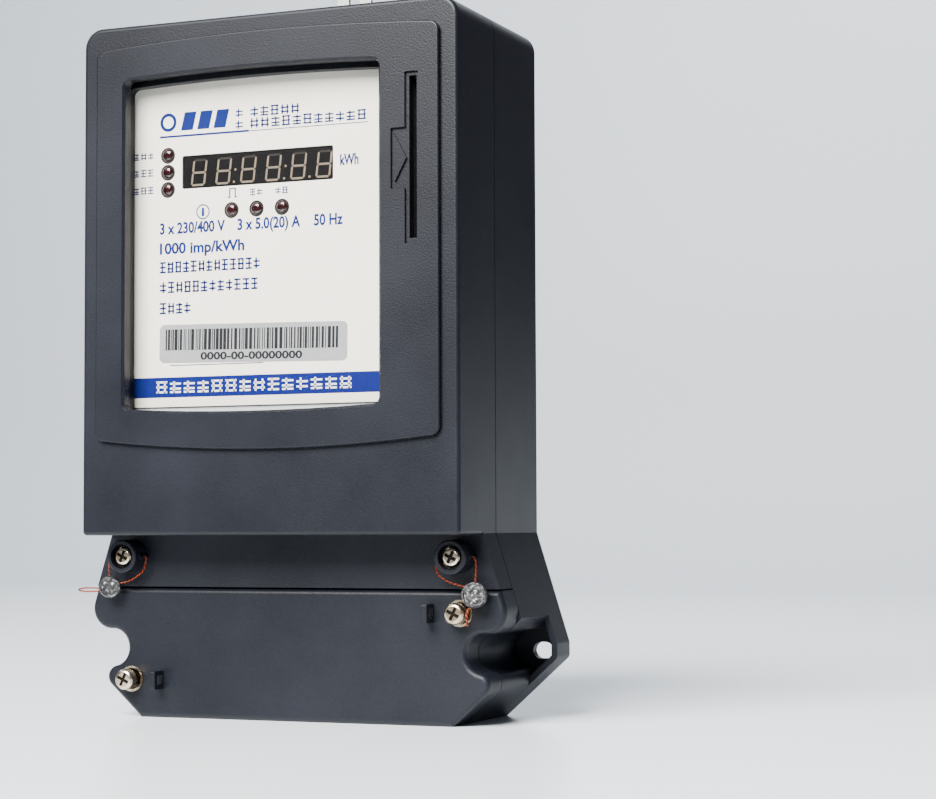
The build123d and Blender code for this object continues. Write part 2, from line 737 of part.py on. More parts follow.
def terminals():
    """Brass barrels: the cable comes in from below and two screws clamp it."""
    barrels = []
    for number in range(TERMINALS):
        x = terminal_x(number)
        barrel = block(x - 4.1, x + 4.1, 6, 18.1, 12, 40)
        barrel -= rod_z(x, TERMINAL_Y, CABLE_R, 11, 36)
        barrel -= rod_z(x, TERMINAL_Y, 1.35, 35, 41)
        for z in (19, 31):
            barrel -= rod_y(x, z, THREAD_R, 5, TERMINAL_Y)
        barrels.append(barrel)
    return barrels


def terminal_screws():
    """Two clamp screws for each terminal."""
    screws = []
    for number in range(TERMINALS):
        for z in (19, 31):
            x = terminal_x(number)
            screw = rod_y(x, z, 3.0, 3.2, 5.9) + rod_y(x, z, 1.9, 5.8, TERMINAL_Y - 3.4)
            screw -= Pos(x, 3.2, z) * Box(6.4, 1.6, 0.9)
            screws.append(screw)
    return screws


def signal_terminals():
    """Small strip for the pulse and alarm outputs."""
    strip = block(-30, 30, -7, 1.9, 34.5, 43.5)
    for number in range(TERMINALS):
        x = (number - 4.5) * 5.6
        strip -= rod_y(x, 39.6, 1.9, -8, -3.4)
        strip -= block(x - 1.5, x + 1.5, -5, -1.5, 33, 37)
    return strip


def signal_screws():
    """Screws of the small strip."""
    screws = []
    for number in range(TERMINALS):
        x = (number - 4.5) * 5.6
        screw = rod_y(x, 39.6, 1.8, -6, -3.5)
        screws.append(screw - Pos(x, -6, 39.6) * Box(3.8, 1.2, 0.6))
    return screws


def threaded_inserts():
    """Brass inserts in the base for the four case screws."""
    inserts = []
    for x, z in COVER_SCREWS + LID_SCREWS:
        inserts.append(ring_y(x, z, 3.18, THREAD_R, SEAM_Y + 0.6, 6.9))
    return inserts


# ---------------------------------------------------------------- terminal cover
def terminal_cover():
    """Tray-shaped cover over the terminals, with two screw wells and two seal tabs."""
    outline = lower_outline(BAND_BOTTOM - SEAM_GAP)
    cover = prism(outline, BAND_Y - 0.1, SEAM_Y - 0.1)
    front = cover.faces().sort_by(Axis.Y)[0]
    cover = fillet(front.edges(), 1.9)
    cover -= prism(offset(outline, amount=-WALL), BAND_Y + WALL, SEAM_Y + 1)
    for x, z in LID_SCREWS:
        well = rod_y(x, z, 6.6, BAND_Y + 1, SEAM_Y - 0.1)
        cover += well & prism(outline, BAND_Y, SEAM_Y)
        cover -= rod_y(x, z, 4.75, BAND_Y - 2, BAND_Y + 5.0)
        cover -= rod_y(x, z, 2.55, BAND_Y - 2, SEAM_Y + 1)
    for x0, x1, z0, z1 in LID_TABS:
        tab = block(x0, x1, TAB_Y, BAND_Y + 0.5, z0, z1)
        tab = fillet(tab.faces().sort_by(Axis.Y)[0].edges(), 0.5)
        middle = (z0 + z1) / 2
        cover += tab
        cover -= block(x0 - 1, x1 + 1, TAB_Y + 1.9, BAND_Y - 0.9, middle - 1.8, middle + 1.8)
    return cover - seam_groove(outline)


def screw_bushes():
    """Nickel rings in the terminal cover's screw wells."""
    rings = []
    for x, z in LID_SCREWS:
        ring = ring_y(x, z, 4.7, 3.9, BAND_Y - 0.5, BAND_Y + 4.9)
        rings.append(ring)
    return rings


def lid_screw(x, z):
    """Captive screw that stands proud of the terminal cover."""
    screw = screw_head(x, z, 3.75, LID_SCREW_TOP, 3.4)
    screw += rod_y(x, z, 2.5, LID_SCREW_TOP + 3.3, -4.0)
    screw += rod_y(x, z, SHANK_R, -4.5, 8.5)
    return screw


# ---------------------------------------------------------------- seals
def wire(points, radii, thick=SEAL_WIRE_R):
    """A round wire along straight runs joined by tangent arcs."""
    path = FilletPolyline(*points, radius=radii)
    start = Plane(origin=path @ 0, z_dir=path % 0)
    return sweep(start * Circle(thick), path=path)


def lead_disc(x, z, radius, thick, turn):
    """Pressed lead disc with a soft edge, tipped a little."""
    disc = Cylinder(radius, thick)
    disc = fillet(disc.edges(), thick * 0.3)
    return Pos(x, LEAD_Y, z) * Rot(0, 0, turn[1]) * Rot(90 + turn[0], 0, 0) * disc


def seal_left():
    """Wire loop through the left boss, its hairpin tail, and the lead disc."""
    x, z = COVER_SCREWS[0]
    y = SEAL_HOLE_Y
    loop = wire(
        [
            (-69.2, -18.6, 48.6),
            (-63.6, -18.9, 49.9),
            (x + 6.9, -18.5, 53.4),
            (x + 7.7, y, z),
            (x - 7.8, y, z),
            (-73.2, -18.8, 54.4),
            (-71.9, -19.5, 50.2),
        ],
        [3.0, 2.6, 0.6, 0.8, 2.2],
    )
    tail = wire(
        [(-74.6, -20.9, 47.0), (-84.6, -20.6, 46.7), (-84.8, -20.4, 45.9), (-74.8, -20.8, 46.1)],
        [0.35, 0.35],
        0.25,
    )
    disc = lead_disc(-71.8, 47.6, 4.2, 3.2, (6, 25))
    return [loop, tail], disc


def seal_right():
    """Wire loop through the right boss, its two-stranded tail, and the lead disc."""
    x, z = COVER_SCREWS[1]
    y = SEAL_HOLE_Y
    loop = wire(
        [
            (70.2, -20.4, 48.6),
            (63.6, -20.0, 50.2),
            (x - 6.9, -18.9, 53.4),
            (x - 7.2, y, z),
            (x + 7.4, y, z),
            (73.4, -18.8, 54.0),
            (73.2, -19.6, 49.4),
        ],
        [3.0, 2.4, 0.6, 0.8, 2.2],
    )
    tail = wire([(71.9, -20.4, 42.4), (70.9, -21.9, 38.8), (71.5, -22.3, 35.4)], [4.0], 0.55)
    disc = lead_disc(73.0, 45.8, 4.7, 3.6, (-8, 15))
    return [loop, tail], disc


# ---------------------------------------------------------------- build
GASKET = offset(upper_outline(BAND_BOTTOM), amount=-0.8) - offset(
    upper_outline(BAND_BOTTOM), amount=-1.8
)

os.makedirs("parts", exist_ok=True)
write("base_housing", base_housing())
write("hanger", hanger())
write("hanger_keeper", hanger_keeper())
write("keeper_screws", *keeper_screws())
write("upper_cover", upper_cover())
write("window_pane", window_pane())
write("cover_gasket", cover_gasket())
write("cover_screws", *cover_screws())
write("nameplate", nameplate())
write("nameplate_carrier", nameplate_carrier())
write("carrier_screws", *pan_screws(PANEL_POSTS, -23.86, -31.5, 1.2, 2.6, 1.8))
write("barcode_label", barcode_label())
write("display_module", display_module())
write("led_lamps", *led_lamps())
write("display_board", display_board())
screw_face = DISPLAY_BOARD_Y + BOARD_THICK + 0.02
write("display_board_screws", *pan_screws(DISPLAY_POSTS, screw_face, -23, 1.05, 2.4, 1.6))
write("card_reader_socket", card_reader_socket())
write("card_reader_side", card_reader_side())
write("card_contacts", *card_contacts())
write("card_board", card_board())
write("main_board", main_board())
write("main_board_screws", *pan_screws(BOARD_POSTS, MAIN_BOARD_Y - 0.02, 32.5, 1.25, 2.6, 1.8))
write("transformer_core", transformer_core())
write("transformer_coil", transformer_coil())
write("capacitors", *capacitors())
write("chips", *chips())
write("optocouplers", *optocouplers())
write("varistors", *varistors())
write("backup_battery", backup_battery())
write("battery_holder", battery_holder())
write("output_relay", output_relay())
write("clock_crystal", crystal())
write("board_headers", *board_headers())
write("ribbon_cable", ribbon_cable())
write("current_transformers", *current_transformers())
write("current_loops", *current_loops())
write("voltage_leads", *voltage_leads())
write("terminal_block", terminal_block())
write("terminal_block_screws", *pan_screws(BLOCK_POSTS, 1.98, 34.5, 1.35, 2.8, 1.8))
write("terminals", *terminals())
write("terminal_screws", *terminal_screws())
write("signal_terminals", signal_terminals())
write("signal_screws", *signal_screws())
write("threaded_inserts", *threaded_inserts())
write("terminal_cover", terminal_cover())
write("screw_bushes", *screw_bushes())
write("lid_screw_left", lid_screw(*LID_SCREWS[0]))
write("lid_screw_right", lid_screw(*LID_SCREWS[1]))
left_wires, left_disc = seal_left()
write("seal_wire_left", *left_wires)
write("lead_seal_left", left_disc)
right_wires, right_disc = seal_right()
write("seal_wire_right", *right_wires)
write("lead_seal_right", right_disc)
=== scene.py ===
"""Looks for the prepaid electricity meter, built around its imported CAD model. Metres."""
import json
import math
import random

import bmesh
import bpy
from mathutils import Euler, Matrix, Vector


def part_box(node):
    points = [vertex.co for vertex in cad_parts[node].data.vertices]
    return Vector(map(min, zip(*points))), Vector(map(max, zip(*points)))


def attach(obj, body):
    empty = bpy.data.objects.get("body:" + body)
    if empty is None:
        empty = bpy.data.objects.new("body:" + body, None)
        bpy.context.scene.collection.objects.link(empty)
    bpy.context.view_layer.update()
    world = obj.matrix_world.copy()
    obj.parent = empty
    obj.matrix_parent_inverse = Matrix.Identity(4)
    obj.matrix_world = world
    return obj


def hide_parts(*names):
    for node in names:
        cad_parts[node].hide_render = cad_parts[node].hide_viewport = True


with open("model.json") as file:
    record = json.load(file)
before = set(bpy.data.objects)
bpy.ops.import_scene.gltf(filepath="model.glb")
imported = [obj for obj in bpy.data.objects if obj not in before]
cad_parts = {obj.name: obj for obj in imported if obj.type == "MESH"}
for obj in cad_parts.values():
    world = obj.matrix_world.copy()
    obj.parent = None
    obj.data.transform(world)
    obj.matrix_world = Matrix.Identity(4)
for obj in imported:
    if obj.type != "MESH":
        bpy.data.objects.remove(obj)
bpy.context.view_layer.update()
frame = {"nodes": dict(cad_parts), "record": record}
nodes = frame["nodes"]
MM = 0.001
CAPITAL = 0.72  # height of a capital letter for a font of size 1
# how far printing stands out from what it is on
PLATE_INK = 0.04 * MM
LABEL_INK = 0.03 * MM
SEGMENT_INK = 0.05 * MM


# ---------------------------------------------------------------- objects
def add_object(name, shape, material):
    """An object with one material from a bmesh, which is freed."""
    mesh = bpy.data.meshes.new(name)
    shape.to_mesh(mesh)
    shape.free()
    mesh.materials.append(material)
    made = bpy.data.objects.new(name, mesh)
    bpy.context.collection.objects.link(made)
    return made


def curve_mesh(curve):
    """The mesh that a curve or a text makes."""
    holder = bpy.data.objects.new(curve.name, curve)
    bpy.context.collection.objects.link(holder)
    bpy.context.view_layer.update()
    graph = bpy.context.evaluated_depsgraph_get()
    mesh = bpy.data.meshes.new_from_object(holder.evaluated_get(graph))
    bpy.data.objects.remove(holder)
    return mesh


# ---------------------------------------------------------------- camera, stage and light
def add_camera():
    """A long lens, a little right of the meter and level with its lower cover."""
    data = bpy.data.cameras.new("camera")
    data.sensor_width = 36.0
    data.lens = 88.56
    data.clip_start = 0.01
    data.clip_end = 50
    cam = bpy.data.objects.new("camera", data)
    bpy.context.collection.objects.link(cam)
    cam.location = (0.37707, -0.7515, 0.07054)
    yaw, pitch, roll = 0.39622, 0.05358, -0.00358
    cam.rotation_mode = "XYZ"
    turn = Euler((math.pi / 2 + pitch, 0, yaw)).to_matrix() @ Matrix.Rotation(roll, 3, "Z")
    cam.rotation_euler = turn.to_euler()
    bpy.context.scene.camera = cam


def add_area(name, place, target, size, power, colour):
    """A square soft box that faces a point."""
    data = bpy.data.lights.new(name, "AREA")
    data.shape = "SQUARE"
    data.size = size
    data.energy = power
    data.color = colour
    lamp = bpy.data.objects.new(name, data)
    bpy.context.collection.objects.link(lamp)
    lamp.location = place
    way = Vector(target) - Vector(place)
    lamp.rotation_euler = way.to_track_quat("-Z", "Y").to_euler()


def add_stage():
    """Pale floor that sweeps up into a backdrop, and the studio lights."""
    reach, bend, radius, top, steps = 9.0, 1.6, 0.8, 4.0, 12
    profile = [(-reach, 0.0), (bend, 0.0)]
    for i in range(1, steps + 1):
        angle = i * math.pi / (2 * steps)
        profile.append((bend + radius * math.sin(angle), radius - radius * math.cos(angle)))
    profile.append((bend + radius, top))
    shape = bmesh.new()
    rows = [[shape.verts.new((x, y, z)) for x in (-reach, reach)] for y, z in profile]
    for low, high in zip(rows, rows[1:]):
        face = shape.faces.new((low[0], low[1], high[1], high[0]))
        face.smooth = True
    material, shader, _ = new_material("stage_pale")
    shader.inputs["Base Color"].default_value = (0.80, 0.85, 0.905, 1)
    shader.inputs["Roughness"].default_value = 0.24
    shader.inputs["Specular IOR Level"].default_value = 0.4
    floor = add_object("floor", shape, material)
    add_flags()
    world = bpy.data.worlds.new("world")
    world.use_nodes = True
    background = world.node_tree.nodes["Background"]
    background.inputs["Color"].default_value = (0.76, 0.86, 1.0, 1)
    background.inputs["Strength"].default_value = 0.20
    bpy.context.scene.world = world
    middle = (0, 0, 0.13)
    add_area("key", (-0.15, -1.40, 1.30), middle, 1.1, 190, (1.0, 0.98, 0.94))
    add_area("sheen", (-0.95, -1.25, 1.15), (0, 0, 0.2), 0.8, 8, (1.0, 0.99, 0.97))
    add_area("backdrop", (-0.5, 1.0, 1.6), (-0.4, 2.2, 0.5), 1.6, 20, (0.92, 0.96, 1.0))


def add_flags():
    """Dark cards, unseen and without shadows, for the case to mirror: behind and on the floor."""
    material, shader, _ = new_material("stage_dark")
    shader.inputs["Base Color"].default_value = (0.012, 0.012, 0.014, 1)
    shader.inputs["Roughness"].default_value = 0.8
    depth, level = 1.0, 0.003
    behind = [(x, depth, z) for x, z in bar(0.10, 1.50, 0.16, 1.0)]
    below = [(x, y, level) for x, y in bar(-2.4, 1.6, -4.0, -0.34)]
    for name, corners in (("flag_behind", behind), ("flag_below", below)):
        shape = bmesh.new()
        shape.faces.new([shape.verts.new(corner) for corner in corners])
        flag = add_object(name, shape, material)
        flag.visible_camera = False
        flag.visible_shadow = False


# ---------------------------------------------------------------- material helpers
def new_material(name):
    """A principled material with its shader and its node tree."""
    material = bpy.data.materials.new(name)
    material.use_nodes = True
    tree = material.node_tree
    return material, tree.nodes["Principled BSDF"], tree


def object_point(tree):
    """Places in metres, the same for every piece."""
    return tree.nodes.new("ShaderNodeTexCoord").outputs["Object"]


def noise(tree, point, per_mm, detail=3.0, rough=0.5, stretch=None):
    """Noise with a feature size given in features per millimetre."""
    if stretch:
        mapping = tree.nodes.new("ShaderNodeMapping")
        mapping.inputs["Scale"].default_value = stretch
        tree.links.new(point, mapping.inputs["Vector"])
        point = mapping.outputs["Vector"]
    node = tree.nodes.new("ShaderNodeTexNoise")
    node.inputs["Scale"].default_value = per_mm * 1000
    node.inputs["Detail"].default_value = detail
    node.inputs["Roughness"].default_value = rough
    tree.links.new(point, node.inputs["Vector"])
    return node.outputs["Fac"]


def ramp(tree, value, stops):
    """Colours or greys along a value."""
    node = tree.nodes.new("ShaderNodeValToRGB")
    band = node.color_ramp
    while len(band.elements) < len(stops):
        band.elements.new(0.5)
    for element, (place, colour) in zip(band.elements, stops):
        element.position = place
        grey = (colour, colour, colour) if isinstance(colour, (int, float)) else colour
        element.color = (*grey[:3], 1)
    tree.links.new(value, node.inputs["Fac"])
    return node.outputs["Color"]


def bump(tree, height, strength, distance_mm):
    """A bump from a height."""
    node = tree.nodes.new("ShaderNodeBump")
    node.inputs["Strength"].default_value = strength
    node.inputs["Distance"].default_value = distance_mm * MM
    tree.links.new(height, node.inputs["Height"])
    return node.outputs["Normal"]


def grained(name, dark, light, rough, grain_per_mm=1.6, grain=0.35, patch_per_mm=0.02, spec=0.5, depth=0.06):
    """Moulded plastic: fine grain, slow colour drift and uneven gloss."""
    material, shader, tree = new_material(name)
    point = object_point(tree)
    drift = noise(tree, point, patch_per_mm, 4)
    speck = noise(tree, point, grain_per_mm, 2)
    speck_share, drift_share, gloss_spread = 0.45, 0.55, 0.05
    mix = tree.nodes.new("ShaderNodeMath")
    mix.operation = "MULTIPLY_ADD"
    mix.inputs[1].default_value = speck_share
    tree.links.new(speck, mix.inputs[0])
    drifted = tree.nodes.new("ShaderNodeMath")
    drifted.operation = "MULTIPLY"
    drifted.inputs[1].default_value = drift_share
    tree.links.new(drift, drifted.inputs[0])
    tree.links.new(drifted.outputs[0], mix.inputs[2])
    colour = ramp(tree, mix.outputs[0], [(0.3, dark), (0.7, light)])
    tree.links.new(colour, shader.inputs["Base Color"])
    gloss = ramp(tree, drift, [(0.3, rough - gloss_spread), (0.7, rough + gloss_spread)])
    tree.links.new(gloss, shader.inputs["Roughness"])
    shader.inputs["Specular IOR Level"].default_value = spec
    tree.links.new(bump(tree, speck, grain, depth), shader.inputs["Normal"])
    return material


def plated(name, colour, rough, tint=None, scratch=0.15):
    """Plated or bare metal with faint stains and fine scratches."""
    material, shader, tree = new_material(name)
    point = object_point(tree)
    stain = noise(tree, point, 0.25, 4)
    fine = noise(tree, point, 4.0, 2, stretch=(1, 1, 0.15))
    stain_share, stain_rough = 0.72, 0.12
    stained = tint or tuple(c * stain_share for c in colour)
    shade = ramp(tree, stain, [(0.35, stained), (0.6, colour)])
    tree.links.new(shade, shader.inputs["Base Color"])
    gloss = ramp(tree, stain, [(0.3, rough + stain_rough), (0.7, rough)])
    tree.links.new(gloss, shader.inputs["Roughness"])
    shader.inputs["Metallic"].default_value = 1.0
    tree.links.new(bump(tree, fine, scratch, 0.02), shader.inputs["Normal"])
    return material


# ---------------------------------------------------------------- materials
def make_materials():
    """Every finish by name: the record's slots, and the inks and the painted shade that Blender adds."""
    made = {}
    slate_dark, slate_light = (0.0024, 0.0030, 0.0054), (0.0066, 0.0080, 0.0136)
    made["case_plastic"] = grained(
        "case_plastic", slate_dark, slate_light, 0.41, 1.6, 0.8, spec=0.235, depth=0.08
    )
    made["steel"] = plated("steel", (0.52, 0.52, 0.50), 0.24)
    made["nickel"] = plated("nickel", (0.70, 0.61, 0.47), 0.17, (0.36, 0.28, 0.18))
    made["brass"] = plated("brass", (0.78, 0.58, 0.26), 0.27)
    made["copper"] = plated("copper", (0.76, 0.38, 0.22), 0.3)
    made["foil_label"] = grained(
        "foil_label", (0.26, 0.265, 0.275), (0.31, 0.315, 0.325), 0.38, 0.5, 0.12, spec=0.5
    )
    made["rubber"] = grained("rubber", (0.02, 0.02, 0.021), (0.035, 0.035, 0.036), 0.75)
    made["plate_white"] = grained(
        "plate_white", (0.86, 0.825, 0.73), (0.90, 0.865, 0.775), 0.5, 2.0, 0.08, depth=0.02
    )
    made["carrier_grey"] = grained(
        "carrier_grey", (0.50, 0.52, 0.54), (0.58, 0.60, 0.62), 0.48, 1.5, 0.2
    )
    made["display_black"] = grained(
        "display_black", (0.0012, 0.0009, 0.001), (0.0025, 0.0018, 0.0018), 0.4, 1.0, 0.05, spec=0.12
    )
    made["black_plastic"] = grained("black_plastic", (0.02, 0.02, 0.021), (0.032, 0.032, 0.034), 0.42)
    made["green_plastic"] = grained("green_plastic", (0.03, 0.17, 0.08), (0.045, 0.22, 0.10), 0.42)
    made["blue_parts"] = grained("blue_parts", (0.02, 0.08, 0.30), (0.035, 0.12, 0.38), 0.35)
    made["yellow_tape"] = grained("yellow_tape", (0.55, 0.40, 0.05), (0.68, 0.52, 0.09), 0.3)
    made["circuit_board"] = circuit_board()
    made["lamp_red"] = lamp_red()
    made["clear_plastic"] = clear_plastic()
    made["lead"] = lead()
    made["seal_wire"] = plated("seal_wire", (0.52, 0.075, 0.02), 0.4, (0.34, 0.035, 0.01))
    # the steel strand is dark brown, not steel grey: painted shade in the gaps between the copper turns
    made["wire_steel_shaded"] = plated("wire_steel_shaded", (0.10, 0.05, 0.035), 0.35, (0.05, 0.022, 0.016))
    made["ink_blue"] = ink("ink_blue", (0.0006, 0.011, 0.12))
    made["band_blue"] = ink("band_blue", (0.0001, 0.007, 0.13))
    made["ink_black"] = ink("ink_black", (0.012, 0.012, 0.014))
    made["ink_white"] = ink("ink_white", (0.85, 0.86, 0.88))
    # painted shade for the screw recesses: a near black brown in place of the shadow at their bottoms
    made["recess_shade"] = grained("recess_shade", (0.002, 0.0014, 0.001), (0.009, 0.006, 0.004), 0.8, 3.0, 0.5, spec=0.1)
    made["segment_off"] = ink("segment_off", (0.17, 0.137, 0.10))
    # a darker copy of segment_off: painted shade for the top bar of each digit
    made["segment_shaded"] = ink("segment_shaded", (0.022, 0.018, 0.015))
    return made


def ink(name, colour):
    """Printed ink: even colour with faint screen mottling."""
    material, shader, tree = new_material(name)
    point = object_point(tree)
    mottle = noise(tree, point, 1.2, 3)
    dark_share = 0.86
    dark = tuple(c * dark_share for c in colour)
    tree.links.new(ramp(tree, mottle, [(0.35, dark), (0.65, colour)]), shader.inputs["Base Color"])
    shader.inputs["Roughness"].default_value = 0.6
    shader.inputs["Specular IOR Level"].default_value = 0.15
    return material


def circuit_board():
    """Green solder resist over faint tracks."""
    material, shader, tree = new_material("circuit_board")
    point = object_point(tree)
    cells = tree.nodes.new("ShaderNodeTexVoronoi")
    cells.distance = "MANHATTAN"
    cells.inputs["Scale"].default_value = 160
    tree.links.new(point, cells.inputs["Vector"])
    resist = [(0.25, (0.012, 0.10, 0.045)), (0.5, (0.02, 0.16, 0.07))]
    tree.links.new(ramp(tree, cells.outputs["Distance"], resist), shader.inputs["Base Color"])
    shader.inputs["Roughness"].default_value = 0.3
    tree.links.new(bump(tree, cells.outputs["Distance"], 0.2, 0.03), shader.inputs["Normal"])
    return material


def lamp_red():
    """Unlit red epoxy: dark, glossy, with a little depth."""
    material, shader, tree = new_material("lamp_red")
    point = object_point(tree)
    cloud = noise(tree, point, 0.6, 2)
    colour = ramp(tree, cloud, [(0.3, (0.010, 0.0008, 0.001)), (0.7, (0.022, 0.0015, 0.002))])
    tree.links.new(colour, shader.inputs["Base Color"])
    shader.inputs["Roughness"].default_value = 0.16
    shader.inputs["Coat Weight"].default_value = 0.6
    shader.inputs["Coat Roughness"].default_value = 0.05
    return material


def clear_plastic():
    """Thin clear pane: light goes straight through, with a weak gloss."""
    material, shader, tree = new_material("clear_plastic")
    shader.inputs["Base Color"].default_value = (0.01, 0.012, 0.015, 1)
    shader.inputs["Roughness"].default_value = 0.03
    shader.inputs["IOR"].default_value = 1.45
    point = object_point(tree)
    smudge = noise(tree, point, 0.03, 3)
    tree.links.new(ramp(tree, smudge, [(0.3, 0.035), (0.7, 0.05)]), shader.inputs["Alpha"])
    return material


def lead():
    """Pressed lead: dull, bright where rubbed, dark in the hollows."""
    material, shader, tree = new_material("lead")
    point = object_point(tree)
    hollow = noise(tree, point, 0.9, 4, 0.6)
    dark, dull, rubbed = (0.035, 0.035, 0.037), (0.085, 0.085, 0.088), (0.30, 0.295, 0.29)
    colour = ramp(tree, hollow, [(0.42, dark), (0.55, dull), (0.7, rubbed)])
    tree.links.new(colour, shader.inputs["Base Color"])
    shader.inputs["Metallic"].default_value = 0.85
    tree.links.new(ramp(tree, hollow, [(0.3, 0.6), (0.7, 0.33)]), shader.inputs["Roughness"])
    tree.links.new(bump(tree, hollow, 0.8, 0.25), shader.inputs["Normal"])
    return material


# ---------------------------------------------------------------- flat printed shapes
def flat_piece(name, outlines, front, thick, material, origin=(0, 0), turn=0.0, body="case"):
    """Thin raised shapes on a body, from outlines in millimetres round an origin in X and Z."""
    shape = bmesh.new()
    cos, sin = math.cos(turn), math.sin(turn)
    for local in outlines:
        outline = [
            (origin[0] + x * cos - z * sin, origin[1] + x * sin + z * cos) for x, z in local
        ]
        area = sum(a[0] * b[1] - b[0] * a[1] for a, b in zip(outline, outline[1:] + outline[:1]))
        points = outline if area > 0 else outline[::-1]
        low = [shape.verts.new((x * MM, front, z * MM)) for x, z in points]
        high = [shape.verts.new((x * MM, front + thick, z * MM)) for x, z in points]
        shape.faces.new(low)
        shape.faces.new(high[::-1])
        for i in range(len(points)):
            j = (i + 1) % len(points)
            shape.faces.new((low[j], low[i], high[i], high[j]))
    piece = add_object(name, shape, material)
    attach(piece, body)


def bar(x0, x1, z0, z1):
    """A rectangle."""
    return [(x0, z0), (x1, z0), (x1, z1), (x0, z1)]


def lettering(name, lines, front, thick, material, origin=(0, 0), turn=0.0):
    """Upright generic lettering of given width and height, a hair proud of what it is printed on."""
    boldness, weld = 0.032, 1e-7
    stand = Matrix.Rotation(math.pi / 2, 4, "X")
    shape = bmesh.new()
    lie = Matrix.Translation((origin[0] * MM, front + thick / 2, origin[1] * MM))
    lie = lie @ Matrix.Rotation(-turn, 4, "Y")
    for text, x0, x1, z, height in lines:
        curve = bpy.data.curves.new(name, "FONT")
        curve.body = text
        curve.size = height * MM / CAPITAL
        curve.offset = boldness * curve.size
        curve.extrude = thick / 2
        curve.resolution_u = 3
        mesh = curve_mesh(curve)
        across = [v.co.x for v in mesh.vertices]
        wide = (x1 - x0) * MM / (max(across) - min(across))
        place = Matrix.Translation((x0 * MM - min(across) * wide, 0, z * MM))
        mesh.transform(lie @ place @ stand @ Matrix.Diagonal((wide, 1, 1, 1)))
        shape.from_mesh(mesh)
        bpy.data.meshes.remove(mesh)
    bmesh.ops.remove_doubles(shape, verts=shape.verts, dist=weld)
    piece = add_object(name, shape, material)
    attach(piece, "case")


# ---------------------------------------------------------------- nameplate printing
def glyph(x, z, w, h, kind):
    """One block-built mark: three or two strokes across and one or two upright, never a letter."""
    t = 0.16 * h
    levels = ((0.0, 0.44, 0.87), (0.18, 0.6), (0.0, 0.3, 0.72))[kind % 3]
    uprights = ((0.45,), (0.1, 0.72), (0.3,))[kind // 3 % 3]
    marks = [bar(x, x + w, z + h * f, z + h * f + t) for f in levels]
    marks += [bar(x + w * f, x + w * f + t, z, z + h) for f in uprights]
    return marks


def small_print(x, z, width, height, pitch, seed):
    """A row of block-built marks."""
    rng = random.Random(seed)
    mark_share, fit_share, kinds = 0.78, 0.8, 9
    made = []
    at = x
    while at + pitch * fit_share <= x + width:
        made += glyph(at, z, pitch * mark_share, height, rng.randrange(kinds))
        at += pitch
    return made


def ring(x, z, outer, inner):
    """An annulus as a fan of four-sided outlines."""
    steps = 28
    made = []
    for i in range(steps):
        a, b = 2 * math.pi * i / steps, 2 * math.pi * (i + 1) / steps
        corners = ((outer, a), (outer, b), (inner, b), (inner, a))
        made.append([(x + r * math.cos(turn), z + r * math.sin(turn)) for r, turn in corners])
    return made


def disc_outline(x, z, radius):
    """A round dot."""
    steps = 12
    turns = [2 * math.pi * i / steps for i in range(steps)]
    return [(x + radius * math.cos(a), z + radius * math.sin(a)) for a in turns]


def slanted(x, z, wide, high, lean):
    """A block that leans to the right."""
    return [(x, z), (x + wide, z), (x + wide + lean, z + high), (x + lean, z + high)]


def print_nameplate(materials):
    """Everything printed on the nameplate, measured from its lower left corner."""
    low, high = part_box("nameplate")
    origin = (low[0] / MM, low[2] / MM)
    width = (high[0] - low[0]) / MM
    thick = PLATE_INK
    front = low[1] - thick
    blue, white, plate = materials["ink_blue"], materials["ink_white"], "plate_white"
    band = [bar(0, width, 3.4, 10.7)]
    flat_piece("print_band", band, front, thick, materials["band_blue"], origin)
    row = small_print(10.6, 5.0, 80.5, 4.2, 5.68, 51)
    flat_piece("print_band_rows", row, front - thick / 2, thick, white, origin)
    marks = header_marks() + lamp_marks()
    marks += [bar(16.2, 54.2, 14.8, 15.1)]
    marks += small_print(11.8, 48.6, 44.0, 4.0, 3.2, 41)
    marks += small_print(11.8, 41.3, 41.0, 4.0, 3.4, 42)
    marks += small_print(11.8, 33.7, 14.0, 4.0, 3.4, 43)
    flat_piece("print_marks", marks, front, thick, blue, origin)
    lines = [
        ("1", 29.1, 30.1, 68.7, 3.0),
        ("kWh", 84.5, 91.7, 83.7, 3.9),
        ("3 x 230/400 V", 11.8, 38.7, 62.9, 4.0),
        ("3 x 5.0(20) A", 43.7, 68.9, 62.9, 4.0),
        ("50 Hz", 74.2, 85.6, 62.9, 4.0),
        ("1000 imp/kWh", 11.8, 46.5, 55.6, 4.0),
    ]
    lettering("print_units", lines, front, thick, blue, origin)


def header_marks():
    """A ring, three leaning blocks and two rows of marks, over a rule that thins to the right."""
    marks = [bar(11.7, 48.3, 98.0, 98.75), bar(48.3, 95.4, 98.15, 98.45)]
    marks += ring(15.2, 103.6, 3.4, 2.2)
    marks += [slanted(20.4 + 6.7 * i, 100.3, 4.9, 6.6, 1.6) for i in range(3)]
    marks += small_print(42.9, 99.3, 3.8, 3.1, 3.7, 11)
    marks += small_print(42.9, 103.5, 3.8, 3.1, 3.7, 12)
    marks += small_print(48.8, 103.4, 20.6, 3.5, 4.1, 14)
    marks += small_print(48.8, 99.3, 46.8, 3.5, 4.25, 13)
    return marks


def lamp_marks():
    """Marks beside the left lamps, signs above the lower ones, and a ring round a digit."""
    marks = []
    for row, z in enumerate((90.5, 84.3, 77.9)):
        marks += small_print(0.9, z, 8.9, 2.5, 2.9, 20 + row)
    marks += small_print(48.7, 75.0, 5.8, 2.3, 2.8, 31)
    marks += small_print(58.9, 75.0, 5.8, 2.3, 2.8, 32)
    marks += [bar(39.6, 40.6, 74.6, 75.0), bar(40.3, 40.8, 74.6, 78.1), bar(40.3, 43.0, 77.7, 78.1)]
    marks += [bar(42.5, 43.0, 74.6, 78.1), bar(42.5, 43.6, 74.6, 75.0)]
    marks += ring(29.6, 70.2, 2.75, 2.3)
    return marks


